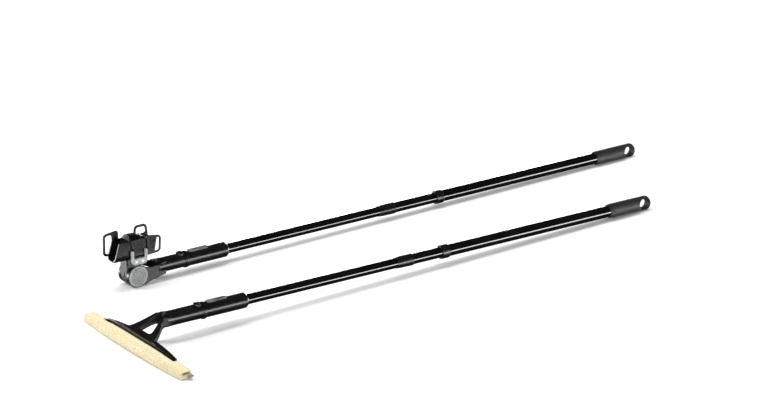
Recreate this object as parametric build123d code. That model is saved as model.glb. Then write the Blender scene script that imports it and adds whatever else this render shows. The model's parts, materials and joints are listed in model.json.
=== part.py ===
"""Window cleaning pole system: a three-stage telescopic pole that carries a cleaner holder,
and a second one that carries a microfibre wiper, lying side by side on the floor.

Millimetres. +X runs along the poles towards the grips, +Y across, +Z up, floor at Z = 0.
The origin is under the middle of the set's bounding box.
Each pole is drawn on its own axis, with X = 0 at the end of its grip and the head at -X, and is
then tipped and moved to its place on the floor.
"""
from build123d import *
from math import asin, cos, degrees, radians, sin
import os

# ---------------------------------------------------------------- driving dimensions
RUNNING_GAP = 0.05          # radial gap of every part that slides or turns in another
PRESS_GAP = 0.02            # radial gap left where a part is pressed or glued in place
BEYOND = 1.0                # how far a cutting shape reaches past the body it cuts

# telescopic tubes: outer radius, wall, length
OUTER_R, OUTER_WALL, OUTER_FRONT, OUTER_REAR = 11.0, 0.8, -494.0, -36.0
MIDDLE_R, MIDDLE_WALL, MIDDLE_LENGTH = 9.8, 0.4, 440.0
INNER_R, INNER_WALL, INNER_LENGTH = 9.25, 0.6, 424.0

# grip with its hang eye
GRIP_LENGTH, GRIP_R, GRIP_FRONT_R, GRIP_ROUND = 101.0, 13.5, 12.7, 9.0
EYE_X, EYE_R, EYE_WEB = -15.0, 8.0, 4.0
DISH_R, DISH_SPREAD = 8.6, 9.6      # the dish round the eye: radius at the web, and how much it widens

# end collars of the outer and the middle tube
OUTER_COLLAR_R, OUTER_COLLAR_LENGTH, OUTER_COLLAR_X = 12.7, 17.0, -499.0
MIDDLE_COLLAR_R, MIDDLE_COLLAR_LENGTH = 11.0, 36.0
COLLAR_LIP = 5.0            # length of a collar's bore ahead of its own tube

# twist lock: a cone on the end of the inner of two tubes, in a slotted nylon jaw
PLUG_DEPTH, LOCK_FLANGE, LOCK_LENGTH, LOCK_HEAD = 15.0, 3.0, 30.0, 2.0
CONE_BIG_R, CONE_SMALL_R, LOCK_HEAD_R = 6.5, 4.0, 6.0
JAW_CHAMFER, JAW_SLOT, JAW_HINGE = 0.8, 2.4, 6.0

# coupling between the front tube and the head, with its sprung button
COUPLING_LENGTH, COUPLING_R = 86.5, 14.0
COUPLING_MOUTH, COUPLING_MOUTH_R = 4.0, 11.4
TUBE_IN_COUPLING, RIVET_R = 30.0, 2.0
SPIGOT_LENGTH, SPIGOT_R = 42.0, 10.5
INSERT_X, INSERT_HALF, INSERT_FLOOR, INSERT_TOP = (5.0, 46.0), 5.2, 11.6, 15.0
INSERT_ROUND, INSERT_RIM = 3.2, 1.0
INSERT_RIBS, INSERT_RIB_PITCH, INSERT_RIB_DEPTH = 8, 4.4, 0.7
RIDGE_R, RIDGE_LENGTH = 15.4, 6.0
BUTTON_R, BUTTON_AHEAD, BUTTON_TOP, BUTTON_BOTTOM = 5.0, 12.0, 15.8, 3.0
BUTTON_ROUND, BUTTON_WALL = 1.4, 1.6
BUTTON_RIM, BUTTON_RIM_TOP = 2.6, 14.9                  # wall and height of the raised rim round the button
SPRING_FLOOR, SPRING_WIRE, SPRING_COIL_R, SPRING_TURNS, SPRING_SEAT = -6.5, 0.55, 2.6, 5, 2.0
NECK_R = 13.6

# each pole: how far its tubes show at rest, and where its grip end lies
HOLDER_MIDDLE_SHOWN, HOLDER_INNER_SHOWN = 97.0, 341.0
WIPER_MIDDLE_SHOWN, WIPER_INNER_SHOWN = 64.0, 321.0
POLE_SPACING, WIPER_POLE_SHIFT = 246.0, -174.0
WIPER_TIP = 1.40            # degrees by which the wiper's pole is tipped up at its head

# tilt hinge of the holder head; every holder size below is measured from its axis
HINGE_AHEAD, HINGE_DROP = 107.5, 5.6
RIM_R, KNOB_R, BARREL_R, BOLT_R = 20.7, 19.0, 20.0, 4.0
FRONT_EAR, REAR_EAR = (-13.0, -6.0), (16.0, 21.5)       # the fork's ears across Y
FORK_ROOT, NECK_START = 44.0, 47.0
ARM_END, ARM_LOW, ARM_HIGH, EAR_R = 59.0, -8.0, 16.0, 20.4
BARREL_Y = (-5.95, 14.9)
KNOB_PROUD, KNOB_RECESS, KNOB_NOTCHES = 1.6, 3.6, 48
NUT_FLATS, NUT_SUNK, BOLT_HEAD_FLATS, BOLT_HEAD = 12.0, 0.4, 13.0, 3.5
BARREL_MARK_Y, BARREL_MARK_Z = (-3.5, 3.5), (-1.0, 7.0)         # shallow square recess on the barrel's face
NECK_BLOCK_X, NECK_BLOCK_TOP = (-20.0, 12.0), 31.0      # the barrel's upward neck
TENON_X, TENON_Y, TENON_TOP = (-9.0, 9.0), (-4.0, 13.0), 45.0
PIN_R, PIN_PLACE = 2.0, (0.0, 4.5, 39.0)

# cradle: a round-bellied shell, open at its front end, with a flat deck for the ribbed saddle
CRADLE_HALF, CRADLE_FLOOR, CRADLE_WALL = 13.5, 31.2, 2.6
CRADLE_REAR, DECK_X, DECK_Z, WALL_TOP = 21.0, -18.0, 62.0, 69.0
CRADLE_LIP_TOP, CRADLE_LIP_LOW = (-38.0, WALL_TOP), (-48.0, 36.0)
APRON_X, APRON_Y, APRON_Z = (-18.0, 15.0), (-16.5, -6.1), (21.6, 38.5)
LUG_X, LUG_Y, LUG_Z = (8.0, 38.0), (8.0, 13.5), (59.0, DECK_Z)
SADDLE_TOP, SADDLE_REAR_TOP, SADDLE_SHOULDER, SADDLE_CREST, SADDLE_EDGE = 79.0, 68.5, 7.0, 4.0, 0.5
SADDLE_RIB, SADDLE_PITCH, SADDLE_RIBS = 1.2, 3.4, 10

# stirrup on the front of the cradle
YOKE_X, YOKE_Y, YOKE_Z = (-17.0, 15.5), (-20.5, -16.6), (25.6, 51.5)
YOKE_ARM, YOKE_WEB, YOKE_ROUND, YOKE_NOTCH_ROUND, YOKE_TIP_ROUND = 5.0, 11.0, 8.0, 2.0, 1.2
YOKE_SCREW_INSET, YOKE_SCREW_Z, YOKE_SCREW_R, YOKE_HEAD_R = 9.5, 31.0, 1.6, 2.9
YOKE_SCREW_SUNK, YOKE_HEAD_T = 1.6, 1.2

# rubber straps: reach, root width, tip width, share of the reach before the loop's window,
# middle of the root, direction, and the way the outer face looks
STRAP_T, STRAP_RAIL, STRAP_CORNER, STRAP_WINDOW_CORNER = 3.6, 4.0, 6.0, 2.4
STRAPS = {
    "strap_left": (30.0, 48.0, 40.5, 0.36, (-25.0, 15.4, 60.5), (-1, 0, 0), (0, -1, 0)),
    "strap_right": (27.0, 35.5, 31.5, 0.58, (21.0, -15.4, 56.0), (1, 0, -0.05), (0, -1, 0)),
    "strap_rear": (22.0, 32.0, 26.0, 0.25, (23.0, 15.4, 62.5), (0, 0, 1), (0, -1, 0)),
}
TONGUE_X, TONGUE_BOTTOM, TONGUE_TOP = (-13.5, 13.5), 40.0, 70.0
TONGUE_T, TONGUE_Y, TONGUE_SHOULDER = 2.6, -CRADLE_HALF - 1.4, 54.0
TONGUE_LEFT_STEP, TONGUE_RIGHT_STEP, TONGUE_CUT = 2.0, 4.0, 3.0     # how far its lower part is narrower

# wiper head, measured from the middle of the pad on the floor
PAD_AHEAD, PAD_LENGTH, PAD_HEIGHT, PAD_END_HEIGHT = 132.5, 314.0, 19.5, 14.2
PAD_FRONT, PAD_REAR, PAD_END_SWEEP = -21.0, 11.5, 6.0
PAD_FOOT, PAD_SHOULDER, PAD_CREST = -14.0, -12.0, -5.0  # X where its front leaves the floor, turns and peaks
FLAP_REAR, FLAP_END, FLAP_ROUND, NOTCH_HALF, POCKET_ROOM = 1.0, 9.5, 3.0, 113.0, 1.0
TAB_X, TAB_REACH, TAB_Z = (-2.0, 8.0), 7.0, (6.0, 7.6)
PLATE_Z, PLATE_T, PLATE_FRONT, PLATE_LENGTH, PLATE_CORNER = 9.0, 2.5, -9.5, 300.0, 6.0
BAR_HALF, BAR_TOP, BAR_BOW, BAR_FRONT, BAR_REAR, BAR_END, BAR_END_T = 107.0, 25.0, 5.0, 1.5, 11.0, 3.0, 4.5
NECK_END = 54.0             # where the wiper's round neck ends and the web of its two arms begins
WEB_ROOT = 62.0             # where the web starts, inside the neck
WEB_FOOT, WEB_T, WEB_HALF = 3.0, 6.0, 52.0      # the web's end in the bar, its depth and half width there
WINDOW_ROUND = 4.0
WINDOW_FOOT, WINDOW_NOSE = (14.0, 19.0), (55.0, 4.5)    # the web's window: (x, half width) at each end
CARRIER_SCREW_PLACES = ((7.5, -60.0), (7.5, 60.0))
CARRIER_SCREW_R = 1.5


# ---------------------------------------------------------------- shared shapes
def turned(points):
    """A solid turned about the X axis from its (x, radius) outline."""
    return revolve(make_face(Polyline(*points, close=True)), Axis.X, 360)


def bar_x(radius, x0, x1):
    """A round bar along X."""
    return Pos((x0 + x1) / 2, 0, 0) * Rot(0, 90, 0) * Cylinder(radius, x1 - x0)


def bar_y(radius, y0, y1, x=0.0, z=0.0):
    """A round bar along Y."""
    return Pos(x, (y0 + y1) / 2, z) * Rot(90, 0, 0) * Cylinder(radius, y1 - y0)


def bar_z(radius, z0, z1, x=0.0, y=0.0):
    """A round bar along Z."""
    return Pos(x, y, (z0 + z1) / 2) * Cylinder(radius, z1 - z0)


def block(x, y, z):
    """A box from its (low, high) pairs."""
    size = [high - low for low, high in (x, y, z)]
    middle = [(low + high) / 2 for low, high in (x, y, z)]
    return Pos(*middle) * Box(*size)


def side_cut(points, y0, y1):
    """A straight bar along Y whose outline in the XZ plane is given by its (x, z) corners."""
    face = Plane.XZ * make_face(Polyline(*points, close=True))
    return Pos(0, y1, 0) * extrude(face, y1 - y0)


def coil(radius, wire, z0, z1, turns):
    """A helical spring along Z."""
    height = z1 - z0 - 2 * wire
    path = Helix(height / turns, height, radius)
    section = Plane(origin=path @ 0, z_dir=path % 0) * Circle(wire)
    return Pos(0, 0, z0 + wire) * sweep(section, path, is_frenet=True)


def hexagon_y(across_flats, y0, y1):
    """A hexagonal bar along Y."""
    face = Plane.XZ * RegularPolygon(across_flats / 2, 6, major_radius=False)
    return Pos(0, y1, 0) * extrude(face, y1 - y0)


# ---------------------------------------------------------------- telescopic pole
def grip():
    """Soft grip, round at the end, pressed on the outer tube, with a webbed hang eye."""
    edge, swell = 1.0, 8.0
    body = turned([(-GRIP_LENGTH, 0), (-GRIP_LENGTH, GRIP_FRONT_R - edge), (-GRIP_LENGTH + edge, GRIP_FRONT_R),
                   (-GRIP_LENGTH + swell, GRIP_R), (0, GRIP_R), (0, 0)])
    body = fillet(body.edges().group_by(Axis.X)[-1], GRIP_ROUND)
    body -= bar_x(OUTER_R + PRESS_GAP, -GRIP_LENGTH, OUTER_REAR)
    dish_depth = GRIP_R + BEYOND - EYE_WEB / 2
    for side in (1, -1):
        dish = Rot(-90 * side, 0, 0) * Cone(DISH_R, DISH_R + DISH_SPREAD, dish_depth)
        body -= Pos(EYE_X, side * (EYE_WEB + dish_depth) / 2, 0) * dish
    return body - bar_y(EYE_R, -GRIP_R, GRIP_R, x=EYE_X)


def tube(radius, wall, x0, x1):
    """A plain round tube along X."""
    return bar_x(radius, x0, x1) - bar_x(radius - wall, x0, x1)


def outer_collar():
    """Flanged ring glued on the outer tube's mouth, which guides the middle tube."""
    x0, x1, edge = OUTER_COLLAR_X, OUTER_COLLAR_X + OUTER_COLLAR_LENGTH, 1.2
    seat, bore = OUTER_R + PRESS_GAP, MIDDLE_R + RUNNING_GAP
    return turned([(x0, bore), (x0, OUTER_COLLAR_R - edge), (x0 + edge, OUTER_COLLAR_R),
                   (x1 - edge, OUTER_COLLAR_R), (x1, OUTER_COLLAR_R - edge), (x1, seat),
                   (x0 + COLLAR_LIP, seat), (x0 + COLLAR_LIP, bore)])


def middle_collar(x0):
    """Tapered ring glued on the middle tube's mouth, which guides the inner tube."""
    x1, mouth, taper, edge = x0 + MIDDLE_COLLAR_LENGTH, 0.6, 9.0, 0.4
    seat, bore = MIDDLE_R + PRESS_GAP, INNER_R + RUNNING_GAP
    return turned([(x0, bore), (x0, bore + mouth), (x0 + taper, MIDDLE_COLLAR_R - edge),
                   (x1 - edge, MIDDLE_COLLAR_R), (x1, MIDDLE_COLLAR_R - edge),
                   (x1, seat), (x0 + COLLAR_LIP, seat), (x0 + COLLAR_LIP, bore)])


def lock_cone(x_rear, plug_r, guide_r):
    """Plug fixed in a tube's rear end, with a guide flange and the cone of the twist lock."""
    x_cone, x_head = x_rear + LOCK_FLANGE, x_rear + LOCK_LENGTH - LOCK_HEAD
    return turned([(x_rear - PLUG_DEPTH, 0), (x_rear - PLUG_DEPTH, plug_r), (x_rear, plug_r),
                   (x_rear, guide_r), (x_cone, guide_r), (x_cone, CONE_BIG_R), (x_head, CONE_SMALL_R),
                   (x_head, LOCK_HEAD_R), (x_head + LOCK_HEAD, LOCK_HEAD_R), (x_head + LOCK_HEAD, 0)])


def lock_jaw(x_rear, guide_r):
    """Slotted nylon sleeve round the cone, which spreads against the tube outside it."""
    x0, x1 = x_rear + LOCK_FLANGE + RUNNING_GAP, x_rear + LOCK_LENGTH - LOCK_HEAD - RUNNING_GAP
    jaw = turned([(x0, CONE_BIG_R + RUNNING_GAP), (x0, guide_r - JAW_CHAMFER), (x0 + JAW_CHAMFER, guide_r),
                  (x1 - JAW_CHAMFER, guide_r), (x1, guide_r - JAW_CHAMFER), (x1, CONE_SMALL_R + RUNNING_GAP)])
    slot = block((x0 - BEYOND, x1 - JAW_HINGE), (-JAW_SLOT / 2, JAW_SLOT / 2), (0, guide_r + BEYOND))
    for turn in (0, 120, 240):
        jaw -= Rot(turn, 0, 0) * slot
    return jaw


def coupling(x_split):
    """Sleeve glued on the front tube, with the spigot and button pocket that take a head."""
    x_nose, x_end = x_split - SPIGOT_LENGTH, x_split + COUPLING_LENGTH
    x_tube = x_end - TUBE_IN_COUPLING
    nose, edge = 1.5, 0.6
    body = turned([(x_nose, 0), (x_nose, SPIGOT_R - nose), (x_nose + nose, SPIGOT_R), (x_split, SPIGOT_R),
                   (x_split, COUPLING_R - edge), (x_split + edge, COUPLING_R),
                   (x_end - COUPLING_MOUTH, COUPLING_R), (x_end, COUPLING_MOUTH_R),
                   (x_end, INNER_R + PRESS_GAP), (x_tube, INNER_R + PRESS_GAP), (x_tube, 0)])
    pocket = bar_z(BUTTON_R + RUNNING_GAP, SPRING_FLOOR, COUPLING_R, x=x_split - BUTTON_AHEAD)
    cross_hole = bar_z(RIVET_R + PRESS_GAP, -COUPLING_R, -INNER_R + BEYOND, x=x_end - TUBE_IN_COUPLING / 2)
    return body - pocket - cross_hole - Pos(0, 0, -PRESS_GAP) * insert_shape(x_split)


def insert_shape(x_split):
    """The plain block of the grey insert let into the top of the coupling."""
    x0, x1 = INSERT_X
    plain = block((x_split + x0, x_split + x1), (-INSERT_HALF, INSERT_HALF), (INSERT_FLOOR, INSERT_TOP))
    return fillet(plain.edges().filter_by(Axis.Z), INSERT_ROUND)


def coupling_insert(x_split):
    """Grey thumb insert with cross ribs."""
    body = insert_shape(x_split)
    half, floor = INSERT_HALF - INSERT_RIM, INSERT_TOP - INSERT_RIB_DEPTH
    for index in range(INSERT_RIBS):
        x = x_split + INSERT_X[0] + INSERT_RIB_PITCH * (index + 1)
        body -= block((x, x + INSERT_RIB_PITCH / 2), (-half, half), (floor, INSERT_TOP + BEYOND))
    return body


def coupling_rivet(x_split):
    """Rivet from below that holds the coupling on the front tube."""
    x, sunk = x_split + COUPLING_LENGTH - TUBE_IN_COUPLING / 2, 0.6
    return bar_z(RIVET_R, -COUPLING_R + sunk, -INNER_R + INNER_WALL, x=x)


def release_button(x_split):
    """Round domed push button that stands through the head's neck."""
    x = x_split - BUTTON_AHEAD
    body = bar_z(BUTTON_R, BUTTON_BOTTOM, BUTTON_TOP, x=x)
    body = fillet(body.edges().group_by(Axis.Z)[-1], BUTTON_ROUND)
    return body - bar_z(BUTTON_R - BUTTON_WALL, BUTTON_BOTTOM, BUTTON_BOTTOM + SPRING_SEAT, x=x)


def button_spring(x_split):
    """Coil spring under the button."""
    x = x_split - BUTTON_AHEAD
    spring = coil(SPRING_COIL_R, SPRING_WIRE, SPRING_FLOOR, BUTTON_BOTTOM + SPRING_SEAT, SPRING_TURNS)
    return Pos(x, 0, 0) * spring


def front_tube(x_front):
    """Inner tube, drilled for the rivet."""
    body = tube(INNER_R, INNER_WALL, x_front, x_front + INNER_LENGTH)
    return body - bar_z(RIVET_R + PRESS_GAP, -INNER_R - BEYOND, 0, x=x_front + TUBE_IN_COUPLING / 2)


def telescopic_pole(middle_shown, inner_shown):
    """All pieces of one pole on its own axis, and the X of the split ahead of its coupling."""
    x_middle_collar = OUTER_COLLAR_X - middle_shown - MIDDLE_COLLAR_LENGTH
    x_split = x_middle_collar - inner_shown - COUPLING_LENGTH
    middle_front = x_middle_collar + COLLAR_LIP
    middle_rear = middle_front + MIDDLE_LENGTH
    inner_front = x_split + COUPLING_LENGTH - TUBE_IN_COUPLING
    inner_rear = inner_front + INNER_LENGTH
    outer_bore, middle_bore, inner_bore = OUTER_R - OUTER_WALL, MIDDLE_R - MIDDLE_WALL, INNER_R - INNER_WALL
    pieces = {
        "grip": grip(),
        "outer_tube": tube(OUTER_R, OUTER_WALL, OUTER_FRONT, OUTER_REAR),
        "outer_collar": outer_collar(),
        "outer_lock_jaw": lock_jaw(middle_rear, outer_bore - RUNNING_GAP),
        "outer_lock_cone": lock_cone(middle_rear, middle_bore - PRESS_GAP, outer_bore - RUNNING_GAP),
        "middle_tube": tube(MIDDLE_R, MIDDLE_WALL, middle_front, middle_rear),
        "middle_collar": middle_collar(x_middle_collar),
        "inner_lock_jaw": lock_jaw(inner_rear, middle_bore - RUNNING_GAP),
        "inner_lock_cone": lock_cone(inner_rear, inner_bore - PRESS_GAP, middle_bore - RUNNING_GAP),
        "inner_tube": front_tube(inner_front),
        "coupling": coupling(x_split),
        "coupling_rivet": coupling_rivet(x_split),
        "coupling_insert": coupling_insert(x_split),
        "release_button": release_button(x_split),
        "button_spring": button_spring(x_split),
    }
    return pieces, x_split


def neck_sleeve(x_split, length):
    """The round socket of a head: spigot bore, ridge at the split, raised rim round the button."""
    edge, end_room = 1.0, 2.0
    x_face, x_ridge, button_x = x_split - PRESS_GAP, x_split - RIDGE_LENGTH, x_split - BUTTON_AHEAD
    body = bar_x(NECK_R, x_split - length, x_face)
    body += turned([(x_ridge, 0), (x_ridge, RIDGE_R - edge), (x_ridge + edge, RIDGE_R),
                    (x_face - edge, RIDGE_R), (x_face, RIDGE_R - edge), (x_face, 0)])
    body += bar_z(BUTTON_R + BUTTON_RIM, 0, BUTTON_RIM_TOP, x=button_x)
    body -= bar_x(SPIGOT_R + PRESS_GAP, x_split - SPIGOT_LENGTH - end_room, x_split)
    return body - bar_z(BUTTON_R + RUNNING_GAP, 0, BUTTON_TOP + BEYOND, x=button_x)


# ---------------------------------------------------------------- holder head (hinge at the origin)
def fork_arm(ear):
    """One arm of the fork with its round ear, reaching back into the neck, its outer edges eased."""
    outline = [(0, -EAR_R), (14, -18.5), (30, -13.0), (ARM_END, ARM_LOW), (ARM_END, ARM_HIGH),
               (NECK_START, 11.5), (26, 11.0), (12, 16.0), (0, EAR_R)]
    return side_cut(outline, *ear) + bar_y(RIM_R, *ear)


def fork_neck():
    """Socket neck that opens into the two ears of the tilt hinge."""
    front, rear, reach, waist = FRONT_EAR[0], REAR_EAR[1], 26.0, 2.0
    body = fork_arm(FRONT_EAR) + fork_arm(REAR_EAR)
    root = [(FORK_ROOT, -10.0), (ARM_END, ARM_LOW), (ARM_END, ARM_HIGH), (FORK_ROOT, 11.5)]
    body += side_cut(root, front, rear)
    plan = Polygon((-RIM_R, front), (reach, front), (ARM_END, -NECK_R + waist), (ARM_END, NECK_R - waist),
                   (NECK_START, rear - waist), (reach, rear), (-RIM_R, rear), align=None)
    body &= Pos(0, 0, -RIM_R) * extrude(plan, 3 * RIM_R)
    body += Pos(HINGE_AHEAD, 0, HINGE_DROP) * neck_sleeve(0, HINGE_AHEAD - NECK_START)
    body += Pos(0, 0, HINGE_DROP) * bar_x(NECK_R, FORK_ROOT, NECK_START + BEYOND)
    body -= bar_y(KNOB_R + RUNNING_GAP, front - BEYOND, front + KNOB_RECESS)
    body -= bar_y(BOLT_R + RUNNING_GAP, front, rear)
    return body - hexagon_y(BOLT_HEAD_FLATS + 2 * RUNNING_GAP, rear - BOLT_HEAD, rear + BEYOND)


def tilt_knob():
    """Round clamping knob sunk in the front ear, with a notched edge and a pocket for its nut."""
    notch_r, notch_depth, edge, rim, face_depth = 0.7, 1.0, 0.5, 2.4, 0.4
    front, back = FRONT_EAR[0] - KNOB_PROUD, FRONT_EAR[0] + KNOB_RECESS
    body = bar_y(KNOB_R, front, back - RUNNING_GAP)
    body = chamfer(body.edges().group_by(Axis.Y)[0], edge)
    notch = bar_y(notch_r, front - BEYOND, front + notch_depth, x=KNOB_R)
    body -= [Rot(0, index * 360 / KNOB_NOTCHES, 0) * notch for index in range(KNOB_NOTCHES)]
    body -= bar_y(KNOB_R - rim, front - BEYOND, front + face_depth)
    body -= bar_y(BOLT_R + RUNNING_GAP, FRONT_EAR[0], back + BEYOND)
    return body - hexagon_y(NUT_FLATS + 2 * PRESS_GAP, FRONT_EAR[0] + NUT_SUNK, back + BEYOND)


def knob_nut():
    """Hexagon nut moulded in the knob, on the clamping bolt."""
    y0, y1 = FRONT_EAR[0] + NUT_SUNK + 2 * RUNNING_GAP, FRONT_EAR[0] + KNOB_RECESS - 4 * RUNNING_GAP
    return hexagon_y(NUT_FLATS, y0, y1) - bar_y(BOLT_R + RUNNING_GAP, y0, y1)


def tilt_bolt():
    """Clamping bolt with its hexagon head let into the rear ear."""
    y_head = REAR_EAR[1] - BOLT_HEAD
    shank = bar_y(BOLT_R, FRONT_EAR[0] + NUT_SUNK + 2 * RUNNING_GAP, y_head)
    return shank + hexagon_y(BOLT_HEAD_FLATS, y_head, REAR_EAR[1] - 2 * RUNNING_GAP)


def bolt_cap():
    """Round cap over the bolt head."""
    cap_r, cap_t, y0 = 11.0, 1.8, REAR_EAR[1] + PRESS_GAP
    cap = bar_y(cap_r, y0, y0 + cap_t)
    return chamfer(cap.edges().group_by(Axis.Y)[-1], cap_t / 2)


def friction_washer():
    """Washer between the barrel and the rear ear."""
    y0, y1, inset = BARREL_Y[1] + RUNNING_GAP, REAR_EAR[0] - RUNNING_GAP, 3.0
    return bar_y(BARREL_R - inset, y0, y1) - bar_y(BOLT_R + RUNNING_GAP, y0, y1)


def hinge_spring():
    """Coil spring round the bolt, which parts the ears when the knob is slackened."""
    coil_r, wire, length, turns, clear = 6.2, 0.8, 9.0, 4, 0.2
    return Pos(0, BARREL_Y[0] + length + clear, 0) * Rot(90, 0, 0) * coil(coil_r, wire, 0, length, turns)


def tilt_barrel():
    """Grey barrel of the hinge, with a square neck and the tenon that carries the cradle."""
    spring_pocket_r, spring_pocket, recess, pin_room = 7.6, 9.5, 1.2, 12.0
    body = bar_y(BARREL_R, *BARREL_Y) + block(NECK_BLOCK_X, BARREL_Y, (0, NECK_BLOCK_TOP))
    body += block(TENON_X, TENON_Y, (NECK_BLOCK_TOP - BEYOND, TENON_TOP))
    body -= bar_y(BOLT_R + RUNNING_GAP, BARREL_Y[0] - BEYOND, BARREL_Y[1] + BEYOND)
    body -= bar_y(spring_pocket_r, BARREL_Y[0] - BEYOND, BARREL_Y[0] + spring_pocket)
    body -= block((-BARREL_R - BEYOND, -BARREL_R + recess), BARREL_MARK_Y, BARREL_MARK_Z)
    return body - Pos(*PIN_PLACE) * bar_x(PIN_R + PRESS_GAP, -pin_room, pin_room)


def cradle_pin():
    """Cross pin through the cradle and the tenon."""
    return Pos(*PIN_PLACE) * bar_x(PIN_R, DECK_X + BEYOND, CRADLE_REAR - BEYOND)


def cradle_section(inset):
    """Belly and walls of the cradle across the pole, inset from its outside."""
    half, floor_z = CRADLE_HALF - inset, CRADLE_FLOOR + inset
    belly = ThreePointArc((-half, CRADLE_FLOOR + CRADLE_HALF), (0, floor_z), (half, CRADLE_FLOOR + CRADLE_HALF))
    top = WALL_TOP + (BEYOND if inset else 0)
    sides = [Line(belly @ 1, (half, top)), Line((half, top), (-half, top)), Line((-half, top), belly @ 0)]
    return Plane.YZ * make_face(Wire([belly] + sides))


def cradle():
    """Shell with an apron over the barrel's neck, a flared front lip and a lug for the rear strap."""
    x_lip, z_low, belly_step, room = CRADLE_LIP_LOW[0], CRADLE_FLOOR - BEYOND, 5.0, 20.0
    x_front = x_lip - BEYOND
    body = Pos(x_front, 0, 0) * extrude(cradle_section(0), CRADLE_REAR - x_front)
    side = [CRADLE_LIP_TOP, CRADLE_LIP_LOW, (x_lip + belly_step, z_low), (CRADLE_REAR, z_low),
            (CRADLE_REAR, DECK_Z), (DECK_X, DECK_Z), (DECK_X, WALL_TOP)]
    body &= side_cut(side, -CRADLE_HALF, CRADLE_HALF)
    body -= Pos(x_front - BEYOND, 0, 0) * extrude(cradle_section(CRADLE_WALL), DECK_X - x_front - BEYOND)
    body += block(APRON_X, APRON_Y, APRON_Z) + block(LUG_X, LUG_Y, LUG_Z)
    body -= block((NECK_BLOCK_X[0] - BEYOND, NECK_BLOCK_X[1] + room),
                  (BARREL_Y[0] - RUNNING_GAP, CRADLE_HALF + room), (0, NECK_BLOCK_TOP + PRESS_GAP))
    tenon_slot = [(low - PRESS_GAP, high + PRESS_GAP) for low, high in (TENON_X, TENON_Y)]
    body -= block(*tenon_slot, (NECK_BLOCK_TOP - BEYOND, TENON_TOP + PRESS_GAP))
    return body - Pos(*PIN_PLACE) * bar_x(PIN_R + PRESS_GAP, DECK_X - BEYOND, CRADLE_REAR + BEYOND)


def saddle_crown(inset):
    """Domed block of the saddle, inset from its outside."""
    half, x0, x1 = CRADLE_HALF - inset, DECK_X + SADDLE_EDGE + inset, CRADLE_REAR - inset
    base, shoulder = DECK_Z + PRESS_GAP, DECK_Z + SADDLE_SHOULDER - inset
    top, rear_top = SADDLE_TOP - inset, SADDLE_REAR_TOP - inset
    x_crest, swell = x0 + SADDLE_CREST, 2.6
    arch = ThreePointArc((-half, shoulder), (0, top), (half, shoulder))
    across = Plane.YZ * make_face(Wire([arch, Line(arch @ 1, (half, base)), Line((half, base), (-half, base)),
                                        Line((-half, base), arch @ 0)]))
    ridge = ThreePointArc((x_crest, top), ((x0 + x1) / 2, (top + rear_top) / 2 + swell), (x1, rear_top))
    corners = [(x1, rear_top), (x1, base), (x0, base), (x0, shoulder), (x_crest, top)]
    along = Plane.XZ * make_face(Wire([ridge] + [Line(*pair) for pair in zip(corners, corners[1:])]))
    return (Pos(x0, 0, 0) * extrude(across, x1 - x0)) & (Pos(0, half, 0) * extrude(along, 2 * half))


def saddle():
    """Domed rubber saddle, ribbed across, that grips the cleaner from below."""
    crown = saddle_crown(0)
    skin = crown - saddle_crown(SADDLE_RIB)
    for index in range(SADDLE_RIBS):
        x = DECK_X + SADDLE_CREST + index * SADDLE_PITCH
        crown -= skin & block((x, x + SADDLE_PITCH / 2), (-CRADLE_HALF, CRADLE_HALF),
                              (DECK_Z + SADDLE_SHOULDER - BEYOND, SADDLE_TOP + BEYOND))
    return crown


def yoke():
    """Grey U-shaped stirrup screwed on the apron of the cradle."""
    (x0, x1), (y0, y1), (z0, z1) = YOKE_X, YOKE_Y, YOKE_Z
    body = block(YOKE_X, YOKE_Y, YOKE_Z)
    body = fillet(body.edges().filter_by(Axis.Y).group_by(Axis.Z)[0], YOKE_ROUND)
    gap = block((x0 + YOKE_ARM, x1 - YOKE_ARM), (y0 - BEYOND, y1 + BEYOND), (z0 + YOKE_WEB, z1 + BEYOND))
    body -= fillet(gap.edges().filter_by(Axis.Y).group_by(Axis.Z)[0], YOKE_NOTCH_ROUND)
    body = fillet(body.edges().filter_by(Axis.Y).group_by(Axis.Z)[-1], YOKE_TIP_ROUND)
    for x in yoke_screw_places():
        body -= bar_y(YOKE_SCREW_R + 2 * RUNNING_GAP, y0 - BEYOND, y1 + BEYOND, x=x, z=YOKE_SCREW_Z)
        body -= bar_y(YOKE_HEAD_R + 2 * RUNNING_GAP, y0 - BEYOND, y0 + YOKE_SCREW_SUNK, x=x, z=YOKE_SCREW_Z)
    return body


def yoke_screw_places():
    """X of the two screws in the stirrup's web."""
    return YOKE_X[0] + YOKE_SCREW_INSET, YOKE_X[1] - YOKE_SCREW_INSET


def yoke_screws():
    """Two pan-head screws, sunk in the stirrup and turned into the apron."""
    screws = []
    head_y = YOKE_Y[0] + YOKE_SCREW_SUNK - PRESS_GAP
    for x in yoke_screw_places():
        shank = bar_y(YOKE_SCREW_R, head_y, YOKE_Y[1] - PRESS_GAP, x=x, z=YOKE_SCREW_Z)
        screws.append(shank + bar_y(YOKE_HEAD_R, head_y - YOKE_HEAD_T, head_y, x=x, z=YOKE_SCREW_Z))
    return Compound(children=screws)


def strap(reach, root_width, tip_width, tongue):
    """Rubber strap end lying along +X from the round bead it bends at: a tongue, then an open loop."""
    outline = Polygon((0, -root_width / 2), (reach, -tip_width / 2), (reach, tip_width / 2),
                      (0, root_width / 2), align=None)
    outline = fillet(outline.vertices().group_by(Axis.X)[-1], STRAP_CORNER)
    body = extrude(outline, STRAP_T / 2, both=True) + bar_y(STRAP_T / 2, -root_width / 2, root_width / 2)
    start, end = reach * tongue, reach - STRAP_RAIL
    half_at = [(root_width + (tip_width - root_width) * x / reach) / 2 - STRAP_RAIL for x in (start, end)]
    window = Polygon((start, -half_at[0]), (end, -half_at[1]), (end, half_at[1]), (start, half_at[0]),
                     align=None)
    return body - extrude(fillet(window.vertices(), STRAP_WINDOW_CORNER), STRAP_T, both=True)


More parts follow.
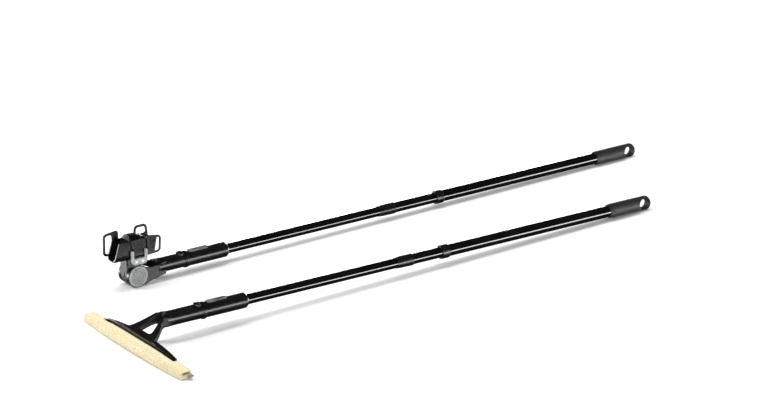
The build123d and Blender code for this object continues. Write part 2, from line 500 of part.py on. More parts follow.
def strap_piece(name):
    """One of the three looped strap ends in its place."""
    reach, root_width, tip_width, tongue, root, direction, facing = STRAPS[name]
    place = Plane(origin=root, x_dir=direction, z_dir=facing).location
    return place * strap(reach, root_width, tip_width, tongue)


def strap_front():
    """Tongue that hangs from its own bead in front of the cradle, narrower between the stirrup's arms."""
    (x0, x1), half_t, middle_y = TONGUE_X, TONGUE_T / 2, TONGUE_Y
    left, right, cut = x0 + TONGUE_LEFT_STEP, x1 - TONGUE_RIGHT_STEP, TONGUE_CUT
    outline = [(x0, TONGUE_TOP), (x0, TONGUE_SHOULDER + TONGUE_LEFT_STEP), (left, TONGUE_SHOULDER),
               (left, TONGUE_BOTTOM + cut), (left + cut, TONGUE_BOTTOM), (right - cut, TONGUE_BOTTOM),
               (right, TONGUE_BOTTOM + cut), (right, TONGUE_SHOULDER),
               (x1, TONGUE_SHOULDER + TONGUE_RIGHT_STEP), (x1, TONGUE_TOP)]
    bead = Pos(0, middle_y, TONGUE_TOP) * bar_x(half_t, x0, x1)
    return side_cut(outline, middle_y - half_t, middle_y + half_t) + bead


def holder_head():
    """All pieces of the holder head, with the tilt hinge at the origin."""
    pieces = {
        "holder_neck": fork_neck(),
        "tilt_knob": tilt_knob(),
        "knob_nut": knob_nut(),
        "tilt_bolt": tilt_bolt(),
        "bolt_cap": bolt_cap(),
        "friction_washer": friction_washer(),
        "hinge_spring": hinge_spring(),
        "tilt_barrel": tilt_barrel(),
        "cradle": cradle(),
        "cradle_pin": cradle_pin(),
        "saddle": saddle(),
        "yoke": yoke(),
        "yoke_screws": yoke_screws(),
        "strap_front": strap_front(),
    }
    pieces.update({name: strap_piece(name) for name in STRAPS})
    return pieces


# ---------------------------------------------------------------- wiper head
def web_side(pad_x, bar_top):
    """Side view of the web: as deep as the round neck at its root, thin where it meets the bar.

    pad_x is the middle of the pad and bar_top the height of the bar's top, on the pole's axis."""
    root, foot, inset = pad_x + WEB_ROOT, pad_x + WEB_FOOT, 0.2
    upper = Spline((root, NECK_R - inset), (root - 16, NECK_R - 4), (pad_x + 22, bar_top + 8), (foot, bar_top),
                   tangents=[(-1, 0), (-1, -0.35)])
    lower = Spline((foot, bar_top - WEB_T), (pad_x + 20, bar_top - 2), (root - 14, -NECK_R + 4.5),
                   (root, -NECK_R + inset), tangents=[(1, 0.1), (1, 0)])
    return Plane.XZ * make_face([upper, Line(upper @ 1, lower @ 0), lower, Line(lower @ 1, upper @ 0)])


def web_flare(pad_x, side):
    """One edge of the web in plan: along the neck, then flaring out along the bar."""
    root, foot, inset = pad_x + WEB_ROOT, pad_x + WEB_FOOT, 0.6
    return Spline((root, side * (NECK_R - inset)), (root - 14, side * NECK_R),
                  (pad_x + 20, side * (WEB_HALF - 18)), (foot, side * WEB_HALF),
                  tangents=[(-1, 0.05 * side), (-0.25, side)])


def web_plan(pad_x):
    """Plan view of the web: it leaves the neck at full width and flares into the bar."""
    left, right = web_flare(pad_x, 1), web_flare(pad_x, -1)
    return make_face([left, Line(left @ 1, right @ 1), right, Line(right @ 0, left @ 0)])


def web_trumpet(pad_x):
    """Trumpet about the pole's axis, as wide as the neck at the web's root, which rounds the web there."""
    root = pad_x + WEB_ROOT
    return turned([(root, 0), (root, NECK_R), (root - 14, NECK_R + 1.5), (root - 66, 76), (root - 66, 0)])


def wiper_web(pad_x, bar_top):
    """The flattened end of the wiper's neck, which splits in two arms round a rounded window."""
    depth = 4 * NECK_R
    web = Pos(0, WEB_HALF, 0) * extrude(web_side(pad_x, bar_top), 2 * WEB_HALF)
    web &= Pos(0, 0, -depth / 2) * extrude(web_plan(pad_x), depth)
    web &= web_trumpet(pad_x)
    (x0, half), (x1, nose) = WINDOW_FOOT, WINDOW_NOSE
    window = Polygon((pad_x + x0, -half), (pad_x + x1, -nose), (pad_x + x1, nose), (pad_x + x0, half),
                     align=None)
    return web - Pos(0, 0, -depth / 2) * extrude(fillet(window.vertices(), WINDOW_ROUND), depth)


def wiper_bar():
    """Bowed bar of the T, thick in the middle and thin at its rounded ends, on the carrier plate."""
    z0 = PLATE_Z + PLATE_T + PRESS_GAP
    mid_bow = BAR_BOW / 2
    front = ThreePointArc((BAR_FRONT + BAR_END, -BAR_HALF), (BAR_FRONT, 0), (BAR_FRONT + BAR_END, BAR_HALF))
    near_end = ThreePointArc(front @ 1, (BAR_REAR / 2 + mid_bow, BAR_HALF + BAR_END), (BAR_REAR - 1, BAR_HALF))
    rear = ThreePointArc(near_end @ 1, (BAR_REAR + mid_bow, 0), (BAR_REAR - 1, -BAR_HALF))
    far_end = ThreePointArc(rear @ 1, (BAR_REAR / 2 + mid_bow, -BAR_HALF - BAR_END), front @ 0)
    body = Pos(0, 0, z0) * extrude(make_face(Wire([front, near_end, rear, far_end])), BAR_TOP - z0)
    reach, end_top = BAR_HALF + 2 * BAR_END, z0 + BAR_END_T
    lid = under_arc(Plane.YZ, (-reach, end_top), (0, BAR_TOP), (reach, end_top), z0 - BEYOND)
    return body & (Pos(PAD_FRONT, 0, 0) * extrude(lid, PAD_REAR - PAD_FRONT + 2 * BAR_BOW))


def pad_carrier():
    """Flat plate inside the pad's pocket."""
    body = block((PLATE_FRONT, PAD_REAR), (-PLATE_LENGTH / 2, PLATE_LENGTH / 2), (PLATE_Z, PLATE_Z + PLATE_T))
    body = fillet(body.edges().filter_by(Axis.Z), PLATE_CORNER)
    for x, y in CARRIER_SCREW_PLACES:
        body -= bar_z(CARRIER_SCREW_R + PRESS_GAP, PLATE_Z, PLATE_Z + PLATE_T, x=x, y=y)
    return body


def carrier_screws():
    """Two screws from below through the plate."""
    return Compound(children=[bar_z(CARRIER_SCREW_R, PLATE_Z, PLATE_Z + PLATE_T, x=x, y=y)
                              for x, y in CARRIER_SCREW_PLACES])


def hook_strip():
    """Hook tape bonded under the plate."""
    margin, tape = 5.0, 0.7
    half = PLATE_LENGTH / 2 - margin
    return block((PLATE_FRONT + margin, PAD_REAR - margin), (-half, half), (PLATE_Z - tape, PLATE_Z - PRESS_GAP))


def under_arc(plane, start, top, end, bottom):
    """Face between an arc and a straight line at the level of bottom, on a plane."""
    arc = ThreePointArc(start, top, end)
    corners = [arc @ 1, Vector(end[0], bottom), Vector(start[0], bottom), arc @ 0]
    return plane * make_face(Wire([arc] + [Line(*pair) for pair in zip(corners, corners[1:])]))


def microfibre_pad():
    """Microfibre pad with a pocket, open at the rear, for the plate; lower and swept back at its ends.

    The pocket's roof ends ahead of the bar, and covers the plate's ends on both sides of it."""
    half, depth = PAD_LENGTH / 2, PAD_REAR - PAD_FRONT + 2 * BEYOND
    pocket_floor, pocket_roof, pocket_front = PLATE_Z - POCKET_ROOM, PLATE_Z + PLATE_T + 0.3, PLATE_FRONT - 0.5
    front = ThreePointArc((PAD_FOOT, 0), (PAD_FRONT, PAD_HEIGHT * 0.4), (PAD_SHOULDER, PAD_HEIGHT - 1.4))
    crown = ThreePointArc(front @ 1, (PAD_CREST, PAD_HEIGHT), (FLAP_END, PAD_END_HEIGHT))
    corners = [(FLAP_END, PAD_END_HEIGHT), (FLAP_END, pocket_roof), (pocket_front, pocket_roof),
               (pocket_front, pocket_floor), (PAD_REAR, pocket_floor), (PAD_REAR, 0), (PAD_FOOT, 0)]
    face = Plane.XZ * make_face(Wire([front, crown] + [Line(*pair) for pair in zip(corners, corners[1:])]))
    body = Pos(0, half, 0) * extrude(face, PAD_LENGTH)
    lid = under_arc(Plane.YZ, (-half, PAD_END_HEIGHT), (0, PAD_HEIGHT), (half, PAD_END_HEIGHT), 0)
    body &= Pos(PAD_FRONT - BEYOND, 0, 0) * extrude(lid, depth)
    sweep_x = PAD_FRONT + PAD_END_SWEEP
    plan = Rot(0, 0, 90) * under_arc(Plane.XY, (-half, -sweep_x), (0, -PAD_FRONT), (half, -sweep_x), -PAD_REAR)
    body &= extrude(plan, PAD_HEIGHT + BEYOND)
    notch = block((FLAP_REAR, PAD_REAR + BEYOND), (-NOTCH_HALF, NOTCH_HALF), (PLATE_Z, PAD_HEIGHT + BEYOND))
    notch = fillet(notch.edges().filter_by(Axis.Z).group_by(Axis.X)[0], FLAP_ROUND)
    return body - notch


def pull_tab():
    """Webbing tab sewn on the near end of the pad."""
    y = -PAD_LENGTH / 2 - PRESS_GAP
    return block(TAB_X, (y - TAB_REACH, y), TAB_Z)


# ---------------------------------------------------------------- the two poles on the floor
def floor_place(x_end, y, tip):
    """Place of a pole whose grip end rests on the floor and whose head end is tipped up."""
    return Location((x_end, y, GRIP_R)) * Location((0, 0, 0), (0, tip, 0))


def build():
    """Every piece of the set in its place, and the places of the joints."""
    pieces, places = {}, {}
    holder_pole, holder_split = telescopic_pole(HOLDER_MIDDLE_SHOWN, HOLDER_INNER_SHOWN)
    hinge_x = holder_split - HINGE_AHEAD
    holder_tip = degrees(asin((RIM_R + HINGE_DROP - GRIP_R) / -hinge_x))
    holder_place = floor_place(0, 0, holder_tip)
    hinge_place = holder_place * Location((hinge_x, 0, -HINGE_DROP))
    pieces.update({"holder_" + name: holder_place * piece for name, piece in holder_pole.items()})
    pieces.update({name: hinge_place * piece for name, piece in holder_head().items()})

    wiper_pole, wiper_split = telescopic_pole(WIPER_MIDDLE_SHOWN, WIPER_INNER_SHOWN)
    pad_x = wiper_split - PAD_AHEAD
    wiper_place = floor_place(WIPER_POLE_SHIFT, -POLE_SPACING, WIPER_TIP)
    pieces.update({"wiper_" + name: wiper_place * piece for name, piece in wiper_pole.items()})
    pad_place = Location((WIPER_POLE_SHIFT + pad_x * cos(radians(WIPER_TIP)), -POLE_SPACING, 0))
    axis_height = GRIP_R - pad_x * sin(radians(WIPER_TIP))
    neck = neck_sleeve(wiper_split, PAD_AHEAD - NECK_END)
    neck += wiper_web(pad_x, BAR_TOP - axis_height)
    pieces["wiper_neck"] = wiper_place * neck + pad_place * wiper_bar()
    flat_pieces = {"pad_carrier": pad_carrier(), "carrier_screws": carrier_screws(),
                   "hook_strip": hook_strip(), "microfibre_pad": microfibre_pad(), "pull_tab": pull_tab()}
    pieces.update({name: pad_place * piece for name, piece in flat_pieces.items()})

    places.update(holder_pole=holder_place, wiper_pole=wiper_place, hinge=hinge_place, pad=pad_place,
                  holder_split=holder_split, wiper_split=wiper_split)
    return pieces, places


def centred(pieces):
    """The move that puts the origin under the middle of the set's bounding box."""
    boxes = [piece.bounding_box() for piece in pieces.values()]
    low = [min(tuple(box.min)[axis] for box in boxes) for axis in range(3)]
    high = [max(tuple(box.max)[axis] for box in boxes) for axis in range(3)]
    return Location((-(low[0] + high[0]) / 2, -(low[1] + high[1]) / 2, -low[2]))


def main():
    """Write one STEP file per piece."""
    os.makedirs("parts", exist_ok=True)
    pieces, _ = build()
    move = centred(pieces)
    for name, piece in pieces.items():
        export_step(move * piece, os.path.join("parts", name + ".step"))


if __name__ == "__main__":
    main()
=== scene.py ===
"""Looks of the window cleaning pole system: materials, soft pieces, studio and camera.

Everything is in metres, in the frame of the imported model: +X along the poles towards the grips, +Z up.
"""
import json
import math

import bmesh
import bpy
from mathutils import Matrix, Vector, noise
from mathutils.bvhtree import BVHTree


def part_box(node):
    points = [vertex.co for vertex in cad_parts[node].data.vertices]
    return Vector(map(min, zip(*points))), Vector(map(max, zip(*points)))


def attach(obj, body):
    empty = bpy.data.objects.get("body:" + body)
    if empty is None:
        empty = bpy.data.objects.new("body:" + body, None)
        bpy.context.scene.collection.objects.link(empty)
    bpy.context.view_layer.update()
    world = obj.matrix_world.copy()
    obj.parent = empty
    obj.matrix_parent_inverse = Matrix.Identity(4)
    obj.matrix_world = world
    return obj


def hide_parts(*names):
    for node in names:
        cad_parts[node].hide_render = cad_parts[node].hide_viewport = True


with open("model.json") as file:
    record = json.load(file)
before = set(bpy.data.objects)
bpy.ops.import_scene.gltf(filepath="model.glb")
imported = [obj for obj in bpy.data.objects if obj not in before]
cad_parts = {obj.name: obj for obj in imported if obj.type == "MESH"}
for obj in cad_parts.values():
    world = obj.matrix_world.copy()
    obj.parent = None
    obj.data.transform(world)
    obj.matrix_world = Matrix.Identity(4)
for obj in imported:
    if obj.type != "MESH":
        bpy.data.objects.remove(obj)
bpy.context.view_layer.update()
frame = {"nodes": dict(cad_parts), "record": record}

MM = 0.001
NODES = frame["nodes"]


# ---------------------------------------------------------------- places taken from the frame
def middle_of(node):
    """Middle of a CAD node's box."""
    low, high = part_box(node)
    return (low + high) / 2


GRIP_END = Vector((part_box("holder_grip")[1].x, middle_of("holder_outer_tube").y, 0.0))


# ---------------------------------------------------------------- material helpers
class Shader:
    """A material being built: its node tree, its principled shader, and short calls to add nodes."""

    def __init__(self, name):
        self.material = bpy.data.materials.new(name)
        self.material.use_nodes = True
        self.tree = self.material.node_tree
        self.surface = self.tree.nodes["Principled BSDF"]
        self.position = self.add("ShaderNodeTexCoord").outputs["Object"]

    def add(self, kind, **inputs):
        """A node with some of its inputs set, to values or to other nodes' outputs."""
        node = self.tree.nodes.new(kind)
        for name, value in inputs.items():
            self.feed(node, name.replace("_", " "), value)
        return node

    def feed(self, node, name, value):
        """Set one input to a value, or link an output to it."""
        if isinstance(value, bpy.types.NodeSocket):
            self.tree.links.new(value, node.inputs[name])
        else:
            node.inputs[name].default_value = value

    def stretched(self, scale):
        """Object position stretched by a factor along each axis."""
        mapping = self.add("ShaderNodeMapping", Vector=self.position)
        mapping.inputs["Scale"].default_value = scale
        return mapping.outputs["Vector"]

    def noise(self, scale, detail=4.0, vector=None):
        """Fractal noise with so many features per metre."""
        node = self.add("ShaderNodeTexNoise", Vector=vector or self.position, Scale=scale, Detail=detail)
        return node.outputs["Fac"]

    def cells(self, scale, vector=None):
        """Distance to the middle of the nearest cell."""
        node = self.add("ShaderNodeTexVoronoi", Vector=vector or self.position, Scale=scale)
        return node.outputs["Distance"]

    def ramp(self, value, low, high, start=0.0, end=1.0):
        """Map value from start..end to low..high, clamped."""
        node = self.add("ShaderNodeMapRange", Value=value)
        node.inputs["From Min"].default_value = start
        node.inputs["From Max"].default_value = end
        node.inputs["To Min"].default_value = low
        node.inputs["To Max"].default_value = high
        return node.outputs["Result"]

    def mix(self, factor, a, b):
        """Mix two colours."""
        node = self.tree.nodes.new("ShaderNodeMix")
        node.data_type = "RGBA"
        self.feed(node, "Factor", factor)
        for index, colour in ((6, a), (7, b)):
            if isinstance(colour, bpy.types.NodeSocket):
                self.tree.links.new(colour, node.inputs[index])
            else:
                node.inputs[index].default_value = (*colour, 1.0)
        return node.outputs[2]

    def bump(self, height, depth, normal=None):
        """A bump whose full height is depth metres."""
        node = self.add("ShaderNodeBump", Height=height, Distance=depth, Strength=1.0)
        if normal is not None:
            self.feed(node, "Normal", normal)
        return node.outputs["Normal"]

    def edges(self, radius):
        """1 along sharp edges, 0 on flat faces."""
        rounded = self.add("ShaderNodeBevel", Radius=radius).outputs["Normal"]
        flat = self.add("ShaderNodeNewGeometry").outputs["Normal"]
        dot = self.tree.nodes.new("ShaderNodeVectorMath")
        dot.operation = "DOT_PRODUCT"
        self.tree.links.new(rounded, dot.inputs[0])
        self.tree.links.new(flat, dot.inputs[1])
        return self.ramp(dot.outputs["Value"], 1.0, 0.0, 0.72, 0.98)

    def rounded_normal(self, radius):
        """Normal that rounds sharp edges."""
        return self.add("ShaderNodeBevel", Radius=radius).outputs["Normal"]

    def finish(self, colour, roughness, normal=None, **others):
        """Set the surface and return the material."""
        if isinstance(colour, bpy.types.NodeSocket):
            self.feed(self.surface, "Base Color", colour)
        else:
            self.surface.inputs["Base Color"].default_value = (*colour, 1.0)
        self.feed(self.surface, "Roughness", roughness)
        if normal is not None:
            self.feed(self.surface, "Normal", normal)
        for name, value in others.items():
            self.feed(self.surface, name.replace("_", " "), value)
        return self.material


def black_enamel():
    """Glossy black coating of the tubes: orange-peel ripple and faint rubbing along the tube."""
    s = Shader("black_enamel")
    rubs = s.noise(900.0, 3.0, s.stretched((0.02, 1.0, 1.0)))
    patches = s.noise(30.0, 2.0)
    roughness = s.ramp(rubs, 0.1, 0.22, 0.35, 0.7)
    colour = s.mix(s.ramp(patches, 0.0, 1.0, 0.4, 0.65), (0.002, 0.002, 0.002), (0.004, 0.004, 0.004))
    normal = s.bump(s.noise(420.0, 1.0), 0.00001)
    return s.finish(colour, roughness, normal, Coat_Weight=0.4, Coat_Roughness=0.1)


def satin_plastic(name, dark, light, roughness=(0.36, 0.5), grain=0.00003, grain_scale=2600.0, edge_highlight=0.3):
    """Moulded plastic with a fine spark-eroded grain, and its edges painted lighter as a highlight."""
    s = Shader(name)
    mottling = s.ramp(s.noise(55.0, 3.0), 0.0, 1.0, 0.35, 0.7)
    colour = s.mix(mottling, dark, light)
    # Edges lighter than the faces: a painted highlight along the edges.
    edge_highlight_colour = tuple(min(1.0, channel * 2.0 + 0.015) for channel in light)
    with_edge_highlight = s.mix(s.ramp(s.edges(0.0006), 0.0, edge_highlight), colour, edge_highlight_colour)
    rough = s.ramp(s.noise(140.0, 2.0), *roughness, 0.3, 0.7)
    normal = s.bump(s.cells(grain_scale), grain, s.rounded_normal(0.0005))
    return s.finish(with_edge_highlight, rough, normal, Specular_IOR_Level=0.5)


def soft_touch():
    """Soft-touch elastomer of the grips: fine leather-like grain, a little dust in it."""
    s = Shader("soft_touch")
    grain = s.cells(1500.0)
    dust = s.ramp(s.noise(70.0, 4.0), 0.0, 0.35, 0.5, 0.8)
    colour = s.mix(dust, (0.009, 0.009, 0.009), (0.024, 0.024, 0.024))
    normal = s.bump(grain, 0.00010, s.rounded_normal(0.0005))
    return s.finish(colour, s.ramp(grain, 0.46, 0.66, 0.0, 0.6), normal, Sheen_Weight=0.08)


def strap_rubber(name="strap_rubber", bloomed=(0.018, 0.018, 0.017)):
    """Matt rubber of the straps: flow marks, blooming and fine grit."""
    s = Shader(name)
    bloom = s.ramp(s.noise(120.0, 5.0), 0.0, 0.5, 0.5, 0.75)
    colour = s.mix(bloom, (0.004, 0.004, 0.004), bloomed)
    normal = s.bump(s.noise(2200.0, 2.0), 0.00006, s.rounded_normal(0.0006))
    return s.finish(colour, s.ramp(bloom, 0.42, 0.62), normal)


KNOB_RIM = (15.8 * MM, 16.6 * MM)           # radii between which the knob's face turns into its rim


def knob_grey():
    """Light grey knob: a coarse speckled face inside a smooth, paler rim."""
    s = Shader("knob_grey")
    centre = middle_of("tilt_knob")
    offset = s.add("ShaderNodeVectorMath", Vector=s.position)
    offset.operation = "SUBTRACT"
    offset.inputs[1].default_value = centre
    flat = s.add("ShaderNodeMapping", Vector=offset.outputs["Vector"])
    flat.inputs["Scale"].default_value = (1.0, 0.0, 1.0)
    radius = s.add("ShaderNodeVectorMath", Vector=flat.outputs["Vector"])
    radius.operation = "LENGTH"
    rim = s.ramp(radius.outputs["Value"], 0.0, 1.0, *KNOB_RIM)
    speckle = s.cells(520.0)
    blotches = s.noise(700.0, 3.0)
    face = s.mix(s.ramp(speckle, 0.0, 1.0, 0.1, 0.55), (0.36, 0.37, 0.37), (0.12, 0.125, 0.125))
    face = s.mix(s.ramp(blotches, 0.0, 0.8, 0.5, 0.68), face, (0.5, 0.51, 0.51))
    colour = s.mix(rim, face, (0.4, 0.41, 0.41))
    depth = s.mix(rim, (1.0, 1.0, 1.0), (0.0, 0.0, 0.0))
    grit = s.add("ShaderNodeMath")
    grit.operation = "MULTIPLY"
    s.feed(grit, 0, speckle)
    s.feed(grit, 1, depth)
    normal = s.bump(grit.outputs[0], 0.0003, s.rounded_normal(0.0003))
    return s.finish(colour, 0.45, normal)


def glossy_black():
    """Polished black button."""
    s = Shader("glossy_black")
    smears = s.noise(260.0, 3.0)
    return s.finish((0.005, 0.005, 0.005), s.ramp(smears, 0.06, 0.2, 0.35, 0.7), s.rounded_normal(0.0004))


def zinc_steel():
    """Zinc-plated steel with fine drawing marks."""
    s = Shader("zinc_steel")
    marks = s.noise(3000.0, 2.0, s.stretched((1.0, 0.1, 1.0)))
    colour = s.mix(s.noise(90.0, 3.0), (0.52, 0.53, 0.55), (0.66, 0.66, 0.64))
    return s.finish(colour, s.ramp(marks, 0.22, 0.42), s.rounded_normal(0.0002), Metallic=1.0)


def natural_nylon():
    """Off-white nylon of the lock jaws, slightly translucent."""
    s = Shader("natural_nylon")
    colour = s.mix(s.noise(80.0, 3.0), (0.66, 0.64, 0.58), (0.76, 0.75, 0.7))
    normal = s.bump(s.noise(1800.0, 2.0), 0.00003, s.rounded_normal(0.0003))
    return s.finish(colour, 0.42, normal, Subsurface_Weight=0.15, Subsurface_Scale=0.002)


def microfibre():
    """Cream microfibre pile: tufts with painted shade in the hollows between them, stray fibres, sheen and
    slight soiling.
    """
    s = Shader("microfibre")
    tufts = s.cells(420.0)
    fibres = s.noise(2600.0, 3.0)
    soil = s.ramp(s.noise(60.0, 5.0), 0.0, 1.0, 0.35, 0.7)
    base = s.mix(soil, (0.9, 0.84, 0.62), (0.84, 0.72, 0.42))
    # Darker where the pile sinks between the tufts: painted shade.
    colour = s.mix(s.ramp(tufts, 0.0, 0.75, 0.25, 0.7), base, (0.6, 0.48, 0.24))
    height = s.add("ShaderNodeMath")
    height.operation = "SUBTRACT"
    s.feed(height, 0, s.ramp(fibres, 0.0, 0.5))
    s.feed(height, 1, tufts)
    normal = s.bump(height.outputs[0], 0.0009)
    return s.finish(colour, 0.95, normal, Sheen_Weight=0.5, Sheen_Roughness=0.5, Specular_IOR_Level=0.15)


def woven_tape(name, light, dark):
    """Narrow woven tape: crossing threads."""
    s = Shader(name)
    checks = s.add("ShaderNodeTexBrick", Vector=s.position, Scale=900.0)
    colour = s.mix(checks.outputs["Fac"], light, dark)
    return s.finish(colour, 0.85, s.bump(checks.outputs["Fac"], 0.0002))


def sewing_thread():
    """Cream twisted thread, a little darker than the pile."""
    s = Shader("sewing_thread")
    twist = s.noise(2400.0, 2.0)
    colour = s.mix(twist, (0.62, 0.53, 0.36), (0.5, 0.42, 0.27))
    return s.finish(colour, 0.8, s.bump(twist, 0.0001))


def make_materials():
    """Material slot of the record to its finished material."""
    return {
        "soft_grip": soft_touch(),
        "black_tube": black_enamel(),
        "black_plastic": satin_plastic("satin_black", (0.004, 0.004, 0.004), (0.009, 0.009, 0.008),
                                       (0.28, 0.36)),
        "gloss_black": glossy_black(),
        "grey_plastic": satin_plastic("satin_grey", (0.045, 0.045, 0.045), (0.075, 0.075, 0.074)),
        "light_grey_plastic": satin_plastic("light_grey", (0.36, 0.38, 0.39), (0.46, 0.48, 0.49),
                                            (0.3, 0.42)),
        "nylon": natural_nylon(),
        "black_rubber": strap_rubber(),
        "steel": zinc_steel(),
        "hook_tape": woven_tape("hook_tape", (0.03, 0.03, 0.03), (0.01, 0.01, 0.01)),
        "microfibre": microfibre(),
        "webbing": woven_tape("webbing", (0.3, 0.3, 0.3), (0.12, 0.12, 0.12)),
    }


def paint_nodes(materials):
    """Give every CAD node the material of its slot."""
    for entry in frame["record"]["subparts"]:
        node = NODES[entry["node"]]
        node.data.materials.clear()
        node.data.materials.append(materials[entry["material_slot"]])
    NODES["tilt_knob"].data.materials[0] = knob_grey()
    insert = satin_plastic("insert_grey", (0.06, 0.06, 0.058), (0.2, 0.2, 0.19),
                           grain=0.0001, grain_scale=900.0)
    for pole in ("holder", "wiper"):
        NODES[pole + "_coupling_insert"].data.materials[0] = insert


# ---------------------------------------------------------------- mesh helpers
def link(name, data):
    """A new object in the scene, on its data."""
    piece = bpy.data.objects.new(name, data)
    bpy.context.scene.collection.objects.link(piece)
    return piece


def bake(piece):
    """Replace a piece's data by the mesh that its modifiers give."""
    seen = piece.evaluated_get(bpy.context.evaluated_depsgraph_get())
    mesh = bpy.data.meshes.new_from_object(seen)
    piece.modifiers.clear()
    piece.data = mesh
    return piece


def solid(name, mesh, place, material):
    """A meshed piece with one material, smooth shaded, put in its place for good."""
    mesh.transform(place)
    mesh.materials.clear()
    mesh.materials.append(material)
    mesh.shade_smooth()
    return link(name, mesh)


def rounded(corners, radii, steps=6):
    """Points of a closed outline whose corners are rounded by arcs."""
    points = []
    count = len(corners)
    for index, radius in enumerate(radii):
        corner = Vector(corners[index])
        before = (Vector(corners[index - 1]) - corner).normalized()
        after = (Vector(corners[(index + 1) % count]) - corner).normalized()
        half_angle = before.angle(after) / 2
        reach = radius / math.tan(half_angle)
        centre = corner + (before + after).normalized() * radius / math.sin(half_angle)
        start, end = corner + before * reach - centre, corner + after * reach - centre
        for step in range(steps + 1):
            turn = start.lerp(end, step / steps).normalized() * radius
            points.append(centre + turn)
    return points


def plate(outlines, thickness, edge):
    """Mesh of a flat plate in the XY plane with rounded edges; outlines after the first are holes."""
    curve = bpy.data.curves.new("plate", "CURVE")
    curve.dimensions = "2D"
    curve.fill_mode = "BOTH"
    curve.extrude = thickness / 2 - edge
    curve.bevel_depth = edge
    curve.bevel_resolution = 3
    curve.offset = -edge
    for outline in outlines:
        spline = curve.splines.new("POLY")
        spline.points.add(len(outline) - 1)
        for point, place in zip(spline.points, outline):
            point.co = (place[0], place[1], 0.0, 1.0)
        spline.use_cyclic_u = True
    holder = link("plate", curve)
    mesh = bpy.data.meshes.new_from_object(holder.evaluated_get(bpy.context.evaluated_depsgraph_get()))
    bpy.data.objects.remove(holder)
    return mesh


def join_meshes(meshes):
    """One mesh from several."""
    joined = bmesh.new()
    for mesh in meshes:
        joined.from_mesh(mesh)
    result = bpy.data.meshes.new("joined")
    joined.to_mesh(result)
    joined.free()
    return result


def stud(size, height, top_share=0.7, bevel_share=0.12):
    """Mesh of one square grip stud with a smaller, rounded top, standing on the XY plane."""
    body = bmesh.new()
    bmesh.ops.create_cube(body, size=1.0)
    for vertex in body.verts:
        share = top_share if vertex.co.z > 0 else 1.0
        width = size * share
        vertex.co = Vector((vertex.co.x * width, vertex.co.y * width, (vertex.co.z + 0.5) * height))
    bmesh.ops.bevel(body, geom=body.edges[:], offset=size * bevel_share, segments=2, affect="EDGES")
    mesh = bpy.data.meshes.new("stud")
    body.to_mesh(mesh)
    body.free()
    return mesh


def studs_at(places, size, height):
    """Mesh of many studs, each at its place."""
    pattern = stud(size, height)
    copies = []
    for place in places:
        copy = pattern.copy()
        copy.transform(place)
        copies.append(copy)
    return join_meshes(copies)


# ---------------------------------------------------------------- rubber straps
STRAP_T = 3.6 * MM
STRAP_EDGE = 1.75 * MM
STUD_SIZE, STUD_PITCH, STUD_HEIGHT, STUD_SUNK = 2.6 * MM, 4.4 * MM, 1.2 * MM, 0.3 * MM


class Loop:
    """A looped strap in terms of its CAD solid's reach and root width.

    tip: tip width as a share of the root's; window: where the window starts on each side, as shares of
    the reach; corners: corner radii at the root and at the tip; rail: width of the loop's rails;
    faces: the faces with studs, 1 for the one that looks along -Y and -1 for the other."""

    def __init__(self, node, tip, window, corners, rail, faces):
        self.node = node
        self.tip = tip
        self.window = window
        self.corners = corners
        self.rail = rail
        self.faces = faces


STUD_MARGIN = 1.0 * MM       # from the ends of the studded root
WINDOW_SHARE_R, WINDOW_SHARE_W = 0.5, 0.4   # a window's corner radius: of the tip's radius, of its own width
LOOPS = (
    Loop("strap_left", 0.84, (0.30, 0.42), (5.0 * MM, 7.5 * MM), 4.8 * MM, (-1,)),
    Loop("strap_right", 0.84, (0.66, 0.52), (2.0 * MM, 8.0 * MM), 4.4 * MM, (1,)),
    Loop("strap_rear", 0.81, (0.25, 0.25), (2.0 * MM, 7.5 * MM), 4.8 * MM, (-1,)),
)


def stud_grid(x0, x1, half_width, faces):
    """Places of studs in rows over a strap's root, on the faces asked for."""
    rows = int((x1 - x0) / STUD_PITCH)
    columns = int(2 * half_width / STUD_PITCH)
    places = []
    for row in range(rows):
        for column in range(columns):
            x = x0 + (row + 0.5) * (x1 - x0) / rows
            y = (column - (columns - 1) / 2) * STUD_PITCH
            for face in faces:
                turn = Matrix.Rotation(0.0 if face > 0 else math.pi, 4, "X")
                places.append(Matrix.Translation((x, y, face * (STRAP_T / 2 - STUD_SUNK))) @ turn)
    return places


def loop_mesh(loop, reach, half):
    """Mesh of a strap lying along +X from its root, half as wide as given there."""
    tip_half = half * loop.tip
    root_r, tip_r = loop.corners
    corners = [(-STRAP_T / 2, -half), (reach, -tip_half), (reach, tip_half), (-STRAP_T / 2, half)]
    outline = rounded(corners, [root_r, tip_r, tip_r, root_r])
    end = reach - loop.rail
    window = []
    for side, share in zip((1, -1), loop.window):
        start = reach * share
        root_y, tip_y = (half + (tip_half - half) * x / reach - loop.rail for x in (start, end))
        window.append(((start, side * root_y), (end, side * tip_y)))
    (start_a, end_a), (start_b, end_b) = window
    inner_r = min(tip_r * WINDOW_SHARE_R, (end - reach * max(loop.window)) * WINDOW_SHARE_W)
    hole = rounded([start_b, end_b, end_a, start_a], [inner_r] * 4)
    panel = plate([outline, hole], STRAP_T, STRAP_EDGE)
    studs_end = reach * min(loop.window) - STUD_MARGIN
    places = stud_grid(STUD_MARGIN, studs_end, half - loop.rail, loop.faces)
    return join_meshes([panel, studs_at(places, STUD_SIZE, STUD_HEIGHT)]) if places else panel


def loop_strap(loop, root, ahead, material):
    """One looped strap in place of its CAD solid: it lies along ahead from root, and faces -Y."""
    low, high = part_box(loop.node)
    size = high - low
    outward = Vector((0, -1, 0))
    across = outward.cross(ahead)
    reach = abs(size.dot(ahead)) - STRAP_T / 2
    half = abs(size.dot(across)) / 2
    place = Matrix((ahead, across, outward)).transposed().to_4x4()
    place.translation = root
    strap = solid(loop.node + "_loop", loop_mesh(loop, reach, half), place, material)
    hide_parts(loop.node)
    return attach(strap, loop.node + "_flap")


